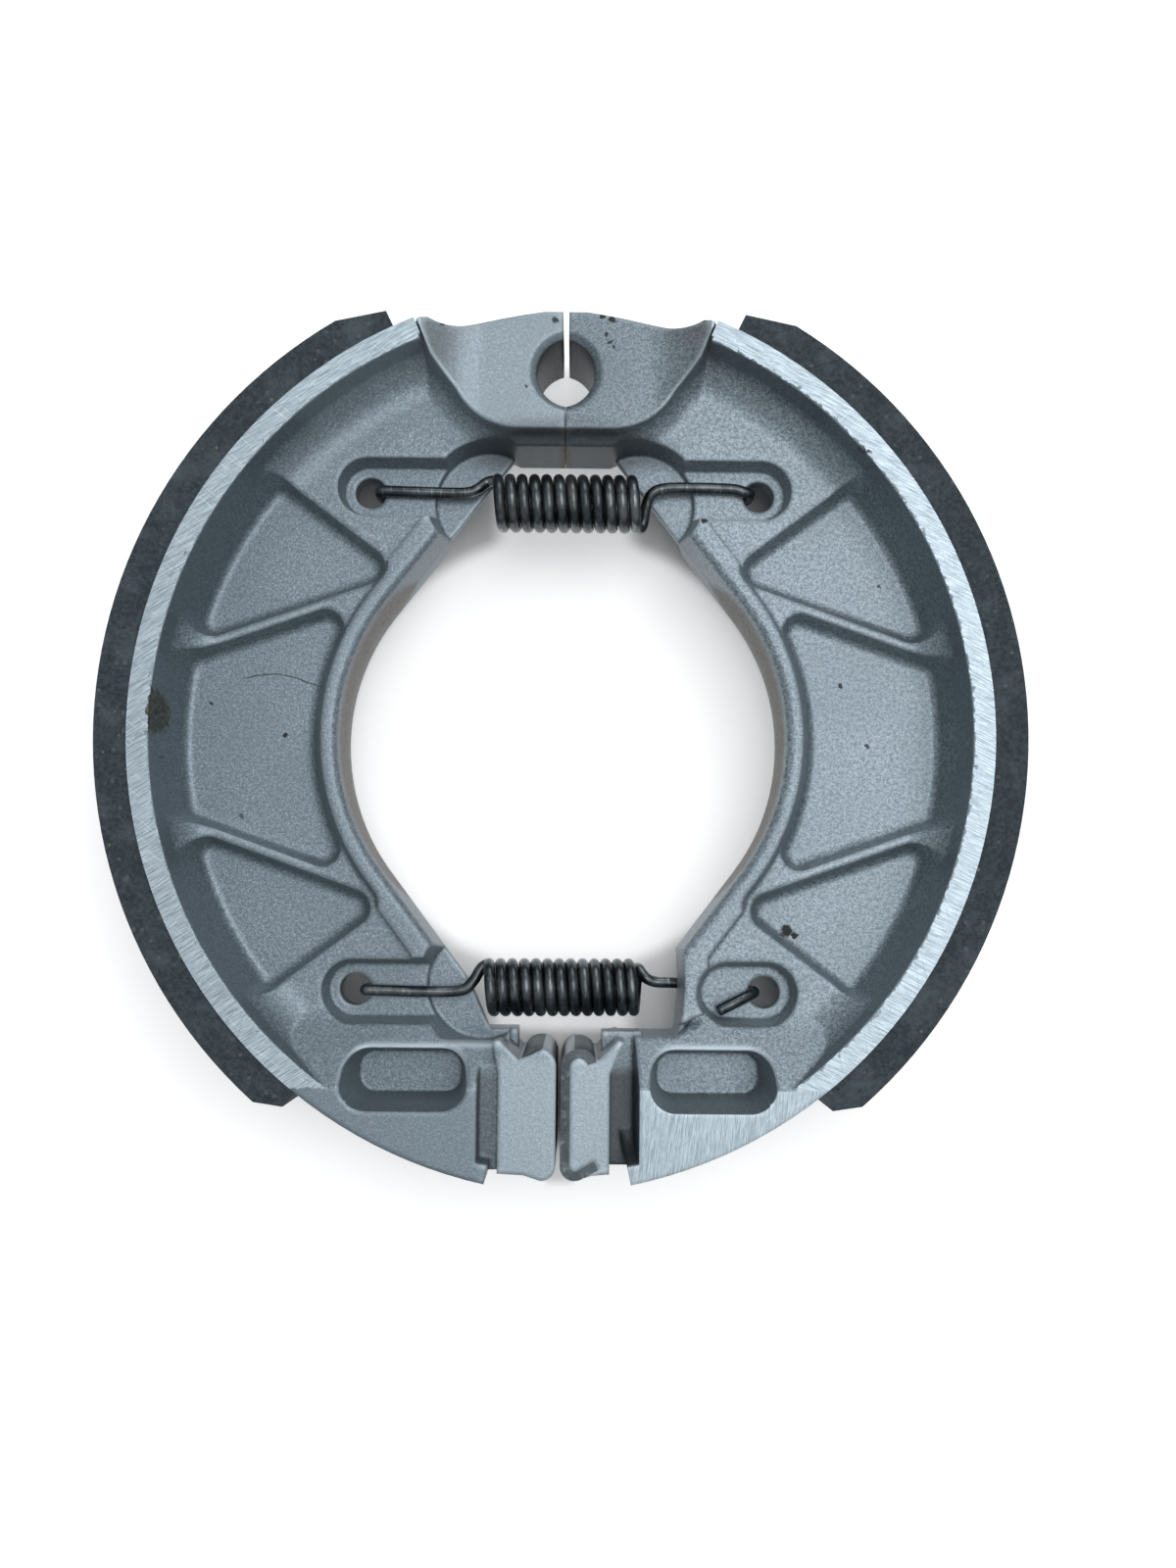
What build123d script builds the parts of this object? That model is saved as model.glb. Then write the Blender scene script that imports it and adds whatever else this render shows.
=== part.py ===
from build123d import *
import math
import os

# Drum brake shoe pair, in millimetres, lying on its rim edges as it rests.
# X runs across the pair, Y towards the anchor end and Z up. The origin is the centre of the outline, on the floor.
# Each shoe is one aluminium die casting with a bonded lining and a bent steel plate on its cam pad.
# Both shoes come from one design: the right one is turned over about Y, so the left shows face A and the right face B.
# All shapes are given for the left shoe. Heights of the casting are measured from its mid plane, the parting plane.

# Overall
shoe_width = 25.0
mid_height = shoe_width / 2
anchor_end_y = 58.5
cam_end_y = -58.5

# Anchor bore and how far each shoe is closed about it
anchor_y = 50.2
anchor_bore_radius = 4.85
saddle_inset = 0.8
bore_chamfer = 0.9
boss_contact_gap = 0.06
boss_slit = 0.8
drum_centre_to_anchor = 50.0
closing_deg = 3.5

# Lining and rim
lining_radius = 64.9
lining_thickness = 4.4
lining_side_step = 0.3
lining_start_deg = 115.8
lining_end_deg = 232.0
bevel_start_deg = 6.0
bevel_end_deg = 3.0
bevel_depth = 2.0
rim_edge_thickness = 2.3
rim_draft_deg = 15.0
rim_foot_fillet = 6.0
rim_start_deg = 113.0

# Web, bead and ribs
pocket_floor = 2.0
web_top = 5.0
bead_height = 7.0
bead_width = 4.4
bead_round = 1.2
opening_radius = 30.0
opening_span_deg = 37.0
boss_foot_y = 40.6
shelf_corner_x = -6.6
shelf_height = 0.6
cast_draft_deg = 5.0
rib_width = 3.0
rib_angle_deg = 23.5
rib_reach = 40.0
upper_rib_y = 16.1
lower_rib_y = -15.9
pocket_edge_deg = 37.0
upper_pocket_edge = (-28.4, 26.4)
lower_pocket_edge = (-28.4, -25.6)
pocket_outer_radius = 55.2
pocket_draft_deg = 18.0
pocket_corner = 1.6
pocket_floor_fillet = 1.2

# Boss
boss_height = 8.5
boss_draft_deg = 11.0
boss_cove = 3.2
boss_flat_x = -11.0
boss_sweep_radius = 11.5
boss_set_back = 0.3

# Spring holes, slots and the round clearances for the coils
hook_hole_radius = 2.2
slot_radius = 3.6
slot_floor = 1.5
slot_draft_deg = 10.0
upper_hook = (-27.3, 34.7)
lower_hook = (-28.0, -34.6)
closed_slot_length = 5.1
coil_recess_radius = 7.5
upper_recess = (-10.6, 33.3)
lower_recess = (-10.6, -33.8)

# Cam end
cam_gap = 0.6
plate_thickness = 1.2
plate_lip = 1.3
plate_crest_y = -41.6
pad_height = 12.0
block_right_x = -9.5
groove_width_a = 1.65
groove_width_b = 2.8
groove_depth_a = 2.5
groove_depth_b = 7.0
block_top_y = -39.8
block_step_x = -15.8
machined_y = -46.8
ramp_deg = 40.0
ramp_cove = 4.0
cam_pocket_centre = (-20.2, -45.6)
cam_pocket_length = 14.0
cam_pocket_width = 5.7
cam_pocket_radius = 2.2
cam_pocket_floor = 1.6
cam_pocket_draft_deg = 7.0

# Springs: 8 mm coils close wound from one wire, ending in arms with hooks
wire_diameter = 1.55
wire_clearance = 0.1
hook_bend_radius = 1.0
hook_tip_length = 4.5
upper_coil_diameter = 8.2
upper_coil_y = 33.24
upper_coil_x = -9.48
upper_turns = 11.5
upper_pitch = 1.7
lower_coil_diameter = 8.0
lower_coil_y = -34.2
lower_coil_x = -9.79
lower_turns = 12.9
lower_pitch = 1.605
lower_coil_drop = 3.0
arcs_per_turn = 4

# Worked out from the above
seat_radius = lining_radius - lining_thickness
rim_edge_radius = seat_radius - rim_edge_thickness
closing = math.radians(closing_deg)
drum_x = drum_centre_to_anchor * math.sin(closing)
drum_y = anchor_y - drum_centre_to_anchor * math.cos(closing)
half_gap = cam_gap / 2
wire_radius = wire_diameter / 2
arm_lift = slot_floor + wire_clearance + wire_radius
far = 80.0


def polar(radius, degrees, centre=(0.0, 0.0)):
    angle = math.radians(degrees)
    return (centre[0] + radius * math.cos(angle), centre[1] + radius * math.sin(angle))


def about_drum(radius, degrees):
    return polar(radius, degrees, (drum_x, drum_y))


def outline(*steps):
    # closed outline from point to point; a pair of points is an arc through the first to the second
    ends = [step[1] if isinstance(step[0], tuple) else step for step in steps]
    mids = [step[0] if isinstance(step[0], tuple) else None for step in steps]
    starts = ends[-1:] + ends[:-1]
    sides = list(zip(starts, ends, mids))
    turn = sum(a[0] * b[1] - b[0] * a[1] for a, b in zip(starts, ends))
    if turn < 0:
        sides = [(b, a, mid) for a, b, mid in reversed(sides)]
    edges = [Line(a, b) if mid is None else ThreePointArc(a, mid, b) for a, b, mid in sides]
    return Sketch() + make_face(edges)


def drum_disc(radius):
    return Pos(drum_x, drum_y) * Circle(radius)


def raised(sketch, low, high, draft_deg=0.0):
    # a sketch standing from one height to another, its sides leaning in by the draft
    return Pos(0, 0, low) * extrude(sketch, high - low, taper=draft_deg)


def web_outline(with_shelf):
    # parting line of the web: boss foot, round opening, and the run down to the cam block
    arc_top = polar(opening_radius, 180 - opening_span_deg)
    arc_mid = polar(opening_radius, 180)
    arc_low = polar(opening_radius, 180 + opening_span_deg)
    if with_shelf:
        low = [(-15.4, -29.4), (-12.4, -33.3), (-10.1, -38.4), (block_right_x, block_top_y)]
    else:
        low = [(-16.0, -28.6), (-16.2, -34.0), (-15.6, block_top_y), (block_right_x, block_top_y)]
    web = outline((0.0, boss_foot_y), (shelf_corner_x, boss_foot_y), arc_top, (arc_mid, arc_low), *low,
                  (block_right_x, block_top_y - 6), (-far, block_top_y - 6), (-far, anchor_y), (0.0, anchor_y))
    return web & drum_disc(seat_radius - 1)


def bead_outline():
    # raised band along the opening, running on beside the lower slot
    web = web_outline(False)
    keep = outline((-far, block_top_y), (-13.0, block_top_y), (-13.0, 30.0), (-8.0, 36.0), (-far, 36.0))
    return (web - offset(web, -bead_width)) & keep & Circle(42.5)


def bead_half():
    # the band's inner edge is well rounded over
    bead = raised(bead_outline(), 0, bead_height, cast_draft_deg)
    inner = [edge for edge in bead.faces().sort_by(Axis.Z)[-1].edges()
             if edge.length > 3 and math.hypot((edge @ 0.5).X, (edge @ 0.5).Y) < opening_radius + 1.6
             and abs((edge @ 0.5).Y) < 30]
    return fillet(inner, bead_round)


def rib_band(y, lean_deg):
    return Pos(-rib_reach, y) * Rot(0, 0, lean_deg) * Rectangle(2 * rib_reach, rib_width)


def pocket_sketch():
    # three pockets between the bead, the rim and the ribs
    panel = drum_disc(pocket_outer_radius) - Circle(opening_radius + bead_width)
    ux, uy = upper_pocket_edge
    lx, ly = lower_pocket_edge
    rise = math.tan(math.radians(pocket_edge_deg))
    panel &= outline((ux + 8, uy - 8 * rise), (ux - far, uy + far * rise), (lx - far, ly - far * rise),
                     (lx + 8, ly + 8 * rise))
    panel -= rib_band(upper_rib_y, -rib_angle_deg)
    panel -= rib_band(lower_rib_y, rib_angle_deg)
    return fillet(panel.vertices(), pocket_corner)


def rim_half():
    draft = math.tan(math.radians(rim_draft_deg))
    foot_radius = rim_edge_radius - (mid_height - web_top) * draft
    profile = outline((foot_radius - 8, 0), (seat_radius, 0), (seat_radius, mid_height),
                      (rim_edge_radius, mid_height), (foot_radius, web_top), (foot_radius - 8, web_top))
    foot = profile.vertices().sort_by(lambda v: abs(v.X - foot_radius) + abs(v.Y - web_top))[0]
    profile = fillet(foot, rim_foot_fillet)
    end_deg = 180 + math.degrees(math.acos((drum_x - block_right_x) / seat_radius))
    ring = revolve(Plane.XZ * profile, Axis.Z, end_deg - rim_start_deg)
    return Pos(drum_x, drum_y) * Rot(0, 0, rim_start_deg) * ring


def boss_half():
    foot = outline((4, boss_foot_y), (shelf_corner_x, boss_foot_y), ((-12.4, 42.3), (-16.4, 46.3)),
                   (-20.2, 50.4), (-24, 58), (-24, 66), (4, 66))
    # a blank that covers the boss and the cove at its foot, within the web
    reach = outline((4, boss_foot_y), (shelf_corner_x, boss_foot_y), polar(opening_radius, 180 - opening_span_deg),
                    (-40, 18), (-40, 66), (4, 66))
    end = outline((0, 10), (0, anchor_end_y), (-3, anchor_end_y), ((-8.6, 57.5), (-14.0, 56.2)),
                  ((-17.2, 56.1), (-20.4, 57.0)), (-22.4, 54.0), (-26, 50), (-26, 10))
    blank = offset(foot, boss_cove + 1) & reach & end & drum_disc(seat_radius - boss_set_back)
    body = raised(blank, 0, mid_height)
    # everything outside the ridge line goes, down to the web, leaving the cove
    ridge = offset(foot, -web_top * math.tan(math.radians(boss_draft_deg)))
    around = Pos(-22, 46) * Rectangle(70, 60) - ridge
    body -= cutter(around, web_top, mid_height + 1, boss_draft_deg, boss_cove)
    # the top sweeps up from the flat round the bore to the rim
    lift = mid_height - boss_height
    sweep_x = boss_flat_x - math.sqrt(boss_sweep_radius**2 - (boss_sweep_radius - lift) ** 2)
    arc_deg = math.degrees(math.asin((boss_flat_x - sweep_x) / boss_sweep_radius)) / 2
    arc_mid = polar(boss_sweep_radius, 270 - arc_deg, (boss_flat_x, boss_height + boss_sweep_radius))
    sky = outline((10, boss_height), (boss_flat_x, boss_height), (arc_mid, (sweep_x, mid_height)), (sweep_x, far),
                  (10, far))
    return body - extrude(Plane.XZ * sky, -far)


def plate_strip():
    # the wear plate seen from above: hooked over the crest of the pad, down the gap face and bent under the pad
    mid_x = -half_gap - plate_thickness / 2
    crest = plate_crest_y - plate_thickness / 2
    base = cam_end_y + plate_thickness / 2
    path = ThreePointArc((mid_x - 3.5, crest - 1.2), (mid_x - 1.5, crest), (mid_x, crest - 1.8))
    path += Line((mid_x, crest - 1.8), (mid_x, base + 1.6))
    path += ThreePointArc((mid_x, base + 1.6), (mid_x - 0.55, base + 0.3), (mid_x - 1.9, base + 0.15))
    path += Line((mid_x - 1.9, base + 0.15), (mid_x - 4.1, base + 1.4))
    return trace(path, plate_thickness)


def pad_outline(groove_width):
    left = block_right_x + groove_width
    return outline((-half_gap, plate_crest_y - 2.0), ((-half_gap - 0.7, plate_crest_y - 0.6), (-2.0, plate_crest_y)),
                   (-3.6, plate_crest_y - 0.8), (-5.2, plate_crest_y - 1.4), (-7.7, block_top_y - 0.7),
                   (-8.6, block_top_y - 0.9), (left, block_top_y - 5.0), (left, cam_end_y + 0.9),
                   (-4.4, cam_end_y + 0.7), (-2.2, cam_end_y),
                   ((-half_gap - 0.5, cam_end_y + 0.6), (-half_gap, cam_end_y + 2.0)))


def block_half(groove_width, groove_depth):
    # the ramp up from the web starts with a cove and ends at the ground face
    corner = machined_y + (mid_height - web_top) / math.tan(math.radians(ramp_deg))
    start = corner + ramp_cove * math.tan(math.radians(ramp_deg / 2))
    centre = (start, web_top + ramp_cove)
    cove = (polar(ramp_cove, 270 - ramp_deg / 2, centre), polar(ramp_cove, 270 - ramp_deg, centre))
    sky = outline((far, web_top), (start, web_top), cove, (machined_y, mid_height), (machined_y, far), (far, far))
    foot = outline((block_right_x, block_top_y), (block_step_x, block_top_y), (block_step_x - 4, start + 1),
                   (-far, start + 1), (-far, -70), (block_right_x, -70))
    block = raised(foot, 0, mid_height, cast_draft_deg) & raised(drum_disc(seat_radius), 0, mid_height)
    # floor of the groove between the block and the pad
    left, right = block_right_x - 1.5, block_right_x + groove_width + 1
    low = cam_end_y + 1.1
    block += raised(outline((left, block_top_y), (right, block_top_y), (right, low), (left, low)), 0,
                    mid_height - groove_depth)
    block -= Pos(-far, 0, 0) * extrude(Plane.YZ * sky, 2 * far)
    return block + raised(pad_outline(groove_width), 0, pad_height)


def slot(hook, length):
    # slot floor from its round end at the hook hole
    bar = Pos(hook[0] + length / 2, hook[1]) * Rectangle(length, 2 * slot_radius)
    return bar + Pos(*hook) * Circle(slot_radius)


def slot_end(hook, length):
    return Pos(hook[0] + length, hook[1]) * Circle(slot_radius)


def cutter(sketch, floor, high, draft_deg, fillet_radius=0.0):
    # tool for a hollow, wider towards its mouth and rounded along its floor
    tool = raised(sketch, floor, high, -draft_deg)
    if fillet_radius > 0:
        tool = fillet(tool.faces().filter_by(Axis.Z).group_by(Axis.Z)[0].edges(), fillet_radius)
    return tool


def shoe_half(face, with_shelf):
    half = raised(web_outline(with_shelf), 0, web_top, cast_draft_deg)
    half += rim_half()
    half += boss_half()
    if face == "A":
        half += block_half(groove_width_a, groove_depth_a)
    else:
        half += block_half(groove_width_b, groove_depth_b)
    half += bead_half()
    half -= cutter(pocket_sketch(), pocket_floor, mid_height + 1, pocket_draft_deg, pocket_floor_fillet)
    recess = Circle(coil_recess_radius)
    upper_length = upper_recess[0] - upper_hook[0]
    lower_length = lower_recess[0] - lower_hook[0]
    half -= cutter(slot(upper_hook, upper_length), slot_floor, bead_height + 1, slot_draft_deg)
    half -= cutter(Pos(*upper_recess) * recess, shelf_height, bead_height + 0.5, slot_draft_deg)
    if face == "A":
        half -= cutter(slot(lower_hook, lower_length), slot_floor, bead_height + 1, slot_draft_deg)
        half -= cutter(Pos(*lower_recess) * recess, shelf_height, bead_height + 0.5, slot_draft_deg)
    else:
        closed = slot(lower_hook, closed_slot_length) + slot_end(lower_hook, closed_slot_length)
        half -= cutter(closed, slot_floor, bead_height + 1, slot_draft_deg)
    cam_pocket = Pos(*cam_pocket_centre) * RectangleRounded(cam_pocket_length, cam_pocket_width, cam_pocket_radius)
    half -= cutter(cam_pocket, cam_pocket_floor, mid_height + 1, cam_pocket_draft_deg)
    return half


def casting(with_shelf):
    body = Pos(0, 0, mid_height) * shoe_half("A", with_shelf)
    body += Pos(0, 0, mid_height) * mirror(shoe_half("B", with_shelf), Plane.XY)
    # half bore for the anchor pin, the slit above it and the flat faces that meet below it
    bore = Pos(saddle_inset, anchor_y, mid_height) * Cylinder(anchor_bore_radius, shoe_width)
    cone = Cone(anchor_bore_radius + bore_chamfer, anchor_bore_radius, bore_chamfer)
    boss_top = boss_height - bore_chamfer / 2
    bore += Pos(saddle_inset, anchor_y, mid_height + boss_top) * Rot(180, 0, 0) * cone
    bore += Pos(saddle_inset, anchor_y, mid_height - boss_top) * cone
    body -= bore
    side = Box(20, far, 2 * far, align=(Align.MIN, Align.MIN, Align.CENTER))
    body -= Pos(-boss_contact_gap / 2, 0, 0) * side
    body -= Pos(-boss_slit / 2, anchor_y, 0) * side
    for hook in (upper_hook, lower_hook):
        body -= Pos(hook[0], hook[1], mid_height) * Cylinder(hook_hole_radius, shoe_width)
    return body - cam_plate()


def cam_plate():
    # flush with the pad on face B, under a lip of the casting on face A
    return raised(plate_strip(), mid_height - pad_height, mid_height + pad_height - plate_lip)


def lining():
    start, end = lining_start_deg, lining_end_deg
    mid = (start + end) / 2
    low = lining_radius - bevel_depth
    pad = outline(about_drum(seat_radius, start), about_drum(low, start),
                  about_drum(lining_radius, start + bevel_start_deg),
                  (about_drum(lining_radius, mid), about_drum(lining_radius, end - bevel_end_deg)),
                  about_drum(low, end), about_drum(seat_radius, end))
    return raised(pad - drum_disc(seat_radius), lining_side_step, shoe_width - lining_side_step)


def hook(hole_x, hole_y, offset_y, arm_z, tip):
    # from the tip of the hook, round its two bends to the arm; the wire bears on the inner edge of its hole
    side = 1 if hole_x > 0 else -1
    play = hook_hole_radius - wire_radius - wire_clearance
    x = hole_x - side * math.sqrt(play**2 - offset_y**2)
    y = hole_y + offset_y
    tip_z = 2 * mid_height - arm_z
    bend = hook_bend_radius
    turn = 1 if arm_z > tip_z else -1
    near = bend * (1 - math.sqrt(0.5))
    tip_x, tip_y, drop = tip
    reach = math.hypot(tip_x - x, tip_y - y)
    ux, uy = (tip_x - x) / reach, (tip_y - y) / reach
    return [(tip_x, tip_y, tip_z - turn * drop),
            (x + ux * 2 * bend, y + uy * 2 * bend, tip_z - turn * drop / 2),
            (x + ux * near, y + uy * near, tip_z + turn * near),
            (x, y, tip_z + turn * 1.4 * bend), (x, y, arm_z - turn * bend),
            (x - side * near, y, arm_z - turn * near), (x - side * bend, y, arm_z)]


def coil(start_x, y, z, diameter, turns, pitch, drop=0.0):
    # start, middle and end points of the arcs that make up the coil
    radius = (diameter - wire_diameter) / 2
    points = []
    steps = 2 * round(turns * arcs_per_turn)
    for step in range(steps + 1):
        turn = turns * step / steps
        angle = 2 * math.pi * turn
        points.append((start_x + pitch * turn, y + radius * math.cos(angle),
                       z + radius * math.sin(angle) - drop * step / steps))
    return points


def swept(path):
    return sweep(Plane(path @ 0, z_dir=path % 0) * Circle(wire_radius), path=path)


def spring(left, turns, right):
    # coil with an arm running smoothly out of each end
    arcs = [ThreePointArc(*turns[i:i + 3]) for i in range(0, len(turns) - 2, 2)]
    middle = Wire([arc.edge() for arc in arcs])
    return swept(middle) + swept(Spline(*left, middle @ 0)) + swept(Spline(middle @ 1, *right))


def upper_spring():
    arm_z = mid_height + arm_lift
    hole_x, hole_y = upper_hook
    left_tip = (hole_x + hook_hole_radius + hook_tip_length, hole_y + 0.1, 0.5)
    right_tip = (-left_tip[0], hole_y + 0.2, 0.5)
    left = hook(hole_x, hole_y, 0.1, arm_z, left_tip)
    left += [(-18.5, 34.65, arm_z), (-14.0, 34.65, arm_z), (-12.3, 35.2, arm_z), (-11.0, 36.3, arm_z - 0.5)]
    turns = coil(upper_coil_x, upper_coil_y, arm_z, upper_coil_diameter, upper_turns, upper_pitch)
    right = hook(-hole_x, hole_y, 0.5, arm_z, right_tip)
    right += [(23.2, 35.6, arm_z), (17.0, 35.7, arm_z), (13.6, 35.5, arm_z), (12.1, 34.7, arm_z - 0.2),
              (11.45, 33.2, arm_z - 0.8), (11.15, 31.4, arm_z - 1.6), (10.7, 30.2, arm_z - 1.5)]
    return spring(left, turns, right[::-1])


def lower_spring():
    arm_z = mid_height + arm_lift
    far_z = mid_height - arm_lift
    hole_x, hole_y = lower_hook
    left_tip = (hole_x + hook_hole_radius + hook_tip_length, hole_y - 0.1, 0.5)
    left = hook(hole_x, hole_y, -0.1, arm_z, left_tip)
    left += [(-17.6, -34.85, arm_z), (-13.4, -34.6, arm_z), (-11.9, -33.4, arm_z), (-10.8, -31.6, arm_z - 0.5)]
    turns = coil(lower_coil_x, lower_coil_y, arm_z - 0.5, lower_coil_diameter, lower_turns, lower_pitch,
                 lower_coil_drop)
    # the far arm lies under the web and its hook comes up through the hole
    right = hook(-hole_x, hole_y, 0.0, far_z, (21.7, -37.0, 1.2))
    right += [(22.0, -34.2, far_z), (16.2, -33.6, far_z), (13.4, -33.5, far_z + 0.2), (11.9, -32.9, far_z + 0.3)]
    return spring(left, turns, right[::-1])


def turned_over(shape):
    # the other shoe of the pair: turned about the line through the mid plane along Y
    return Pos(0, 0, mid_height) * Rot(0, 180, 0) * Pos(0, 0, -mid_height) * shape


def write(name, shape):
    solids = shape.solids()
    print(name, len(solids), "solid", round(sum(s.volume for s in solids)), "mm3")
    export_step(solids[0] if len(solids) == 1 else Compound(solids), f"parts/{name}.step")


os.makedirs("parts", exist_ok=True)
write("left_shoe", casting(True))
write("right_shoe", turned_over(casting(False)))
write("left_lining", lining())
write("right_lining", turned_over(lining()))
write("left_cam_plate", cam_plate())
write("right_cam_plate", turned_over(cam_plate()))
write("upper_spring", upper_spring())
write("lower_spring", lower_spring())
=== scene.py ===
import bmesh
import bpy
import math
from mathutils import Matrix, Vector


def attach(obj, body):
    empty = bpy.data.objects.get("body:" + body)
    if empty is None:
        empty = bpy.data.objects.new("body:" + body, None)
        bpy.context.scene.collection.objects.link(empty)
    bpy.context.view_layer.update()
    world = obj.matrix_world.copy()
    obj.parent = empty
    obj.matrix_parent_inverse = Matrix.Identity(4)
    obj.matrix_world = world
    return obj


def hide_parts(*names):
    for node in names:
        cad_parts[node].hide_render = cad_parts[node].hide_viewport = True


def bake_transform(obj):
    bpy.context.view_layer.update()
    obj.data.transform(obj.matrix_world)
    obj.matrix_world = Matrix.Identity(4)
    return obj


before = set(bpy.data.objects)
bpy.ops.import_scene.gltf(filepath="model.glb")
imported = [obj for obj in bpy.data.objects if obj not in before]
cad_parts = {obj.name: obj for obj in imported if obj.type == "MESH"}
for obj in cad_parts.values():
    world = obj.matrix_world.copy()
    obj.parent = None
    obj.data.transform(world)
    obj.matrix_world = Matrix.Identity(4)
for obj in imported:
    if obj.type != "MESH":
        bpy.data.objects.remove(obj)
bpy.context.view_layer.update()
mm = 0.001


class Reading:
    # one changing value of a node tree; sums and products of these add Math nodes
    def __init__(self, finish, socket):
        self.finish = finish
        self.socket = socket

    def maths(self, operation, *others):
        return self.finish.maths(operation, self, *others)

    def __add__(self, other):
        return self.maths("ADD", other)

    def __sub__(self, other):
        return self.maths("SUBTRACT", other)

    def __rsub__(self, other):
        return self.finish.maths("SUBTRACT", other, self)

    def __mul__(self, other):
        return self.maths("MULTIPLY", other)

    def __truediv__(self, other):
        return self.maths("DIVIDE", other)

    def __rtruediv__(self, other):
        return self.finish.maths("DIVIDE", other, self)

    def larger(self, other):
        return self.maths("MAXIMUM", other)

    def size(self):
        return self.maths("ABSOLUTE")

    __radd__ = __add__
    __rmul__ = __mul__


class Finish:
    # the node tree of a material or of the sky, and the few calls that wire its nodes together
    def __init__(self, owner, surface="Principled BSDF"):
        self.owner = owner
        self.owner.use_nodes = True
        self.tree = self.owner.node_tree
        self.surface = self.tree.nodes[surface]

    def feed(self, socket, value):
        if isinstance(value, Reading):
            self.tree.links.new(value.socket, socket)
        elif isinstance(value, (tuple, list)) and len(value) == 3 and socket.type == "RGBA":
            socket.default_value = (*value, 1)
        else:
            socket.default_value = value

    def node(self, kind, settings, inputs, output=0):
        # any node: its type, its settings, the values or links of its sockets, and which output is read
        made = self.tree.nodes.new(kind)
        for key, value in settings.items():
            if key == "curve":
                points = made.mapping.curves[0].points
                while len(points) < len(value):
                    points.new(0.5, 0.5)
                for point, at in zip(points, value):
                    point.location = at
                made.mapping.update()
            else:
                setattr(made, key, value)
        for key, value in inputs.items():
            self.feed(made.inputs[key], value)
        return Reading(self, made.outputs[output])

    def maths(self, operation, *values):
        return self.node("ShaderNodeMath", {"operation": operation}, dict(enumerate(values)))

    def vector(self, operation, a, b, output=0):
        return self.node("ShaderNodeVectorMath", {"operation": operation}, {0: a, 1: b}, output)

    def step(self, value, low, high):
        # 0 below low, 1 above high, smooth between; low may be the larger one
        return self.node("ShaderNodeMapRange", {"interpolation_type": "SMOOTHSTEP"},
                         {"Value": value, "From Min": low, "From Max": high})

    def mix(self, share, a, b):
        return self.node("ShaderNodeMix", {"data_type": "RGBA"}, {0: share, 6: a, 7: b}, 2)

    def mixed(self, share, a, b):
        # the same for plain values
        return a + (b - a) * share

    def noise(self, place, scale, detail=2.0, roughness=0.5, output=0):
        return self.node("ShaderNodeTexNoise", {}, {"Vector": place, "Scale": scale, "Detail": detail,
                                                   "Roughness": roughness}, output)

    def bump(self, height, strength, distance, normal=None):
        inputs = {"Height": height, "Strength": strength, "Distance": distance}
        if normal:
            inputs["Normal"] = normal
        return self.node("ShaderNodeBump", {}, inputs)

    def rounded(self, radius, samples=4):
        # the normal, turned as if edges were rounded
        return self.node("ShaderNodeBevel", {"samples": samples}, {"Radius": radius})

    def edge(self, reach):
        # near 1 along outer edges
        return 1 - self.node("ShaderNodeAmbientOcclusion", {"inside": True, "samples": 4},
                             {"Distance": reach}, "AO")

    def hollow(self, reach):
        # near 1 in corners and narrow places
        return 1 - self.node("ShaderNodeAmbientOcclusion", {"samples": 6}, {"Distance": reach}, "AO")

    def place(self):
        return self.node("ShaderNodeTexCoord", {}, {}, "Object")

    def split(self, vector):
        parts = self.node("ShaderNodeSeparateXYZ", {}, {0: vector}).socket.node
        return [Reading(self, parts.outputs[axis]) for axis in "XYZ"]

    def join(self, x, y, z):
        return self.node("ShaderNodeCombineXYZ", {}, {0: x, 1: y, 2: z})

    def distance(self, place, x, y):
        # how far a place in the plane is from a point
        return self.vector("DISTANCE", place, (x, y, 0.0), 1)

    def oval(self, place, x, y, width, height):
        # 1 on the border of an oval that is given by its centre and half sizes, less within
        offset = self.vector("SUBTRACT", place, (x, y, 0.0))
        return self.distance(self.vector("DIVIDE", offset, (width, height, 1.0)), 0.0, 0.0)

    def hatch(self, x, y, degrees, across, along):
        # long thin streaks that run in one direction
        c, s = math.cos(math.radians(degrees)), math.sin(math.radians(degrees))
        place = self.join((x * c + y * s) * along, (y * c - x * s) * across, 0.0)
        return self.noise(place, 1.0, 3.0, 0.65)

    def finished(self, **sockets):
        for name, value in sockets.items():
            self.feed(self.surface.inputs[name.replace("_", " ")], value)
        return self.owner


def newFinish(name):
    return Finish(bpy.data.materials.new(name))


def dress(names, material):
    # give the frame's own meshes a material
    for name in names:
        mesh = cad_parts[name].data
        mesh.materials.clear()
        mesh.materials.append(material)


def linked(name, data):
    # a mesh, lamp or camera as an object of the scene
    made = bpy.data.objects.new(name, data)
    bpy.context.scene.collection.objects.link(made)
    return made


# The point that rims and pockets are struck from, in mm; given for the left shoe, mirrored for the right
drumCentre = (3.0525, 0.2932)

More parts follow.
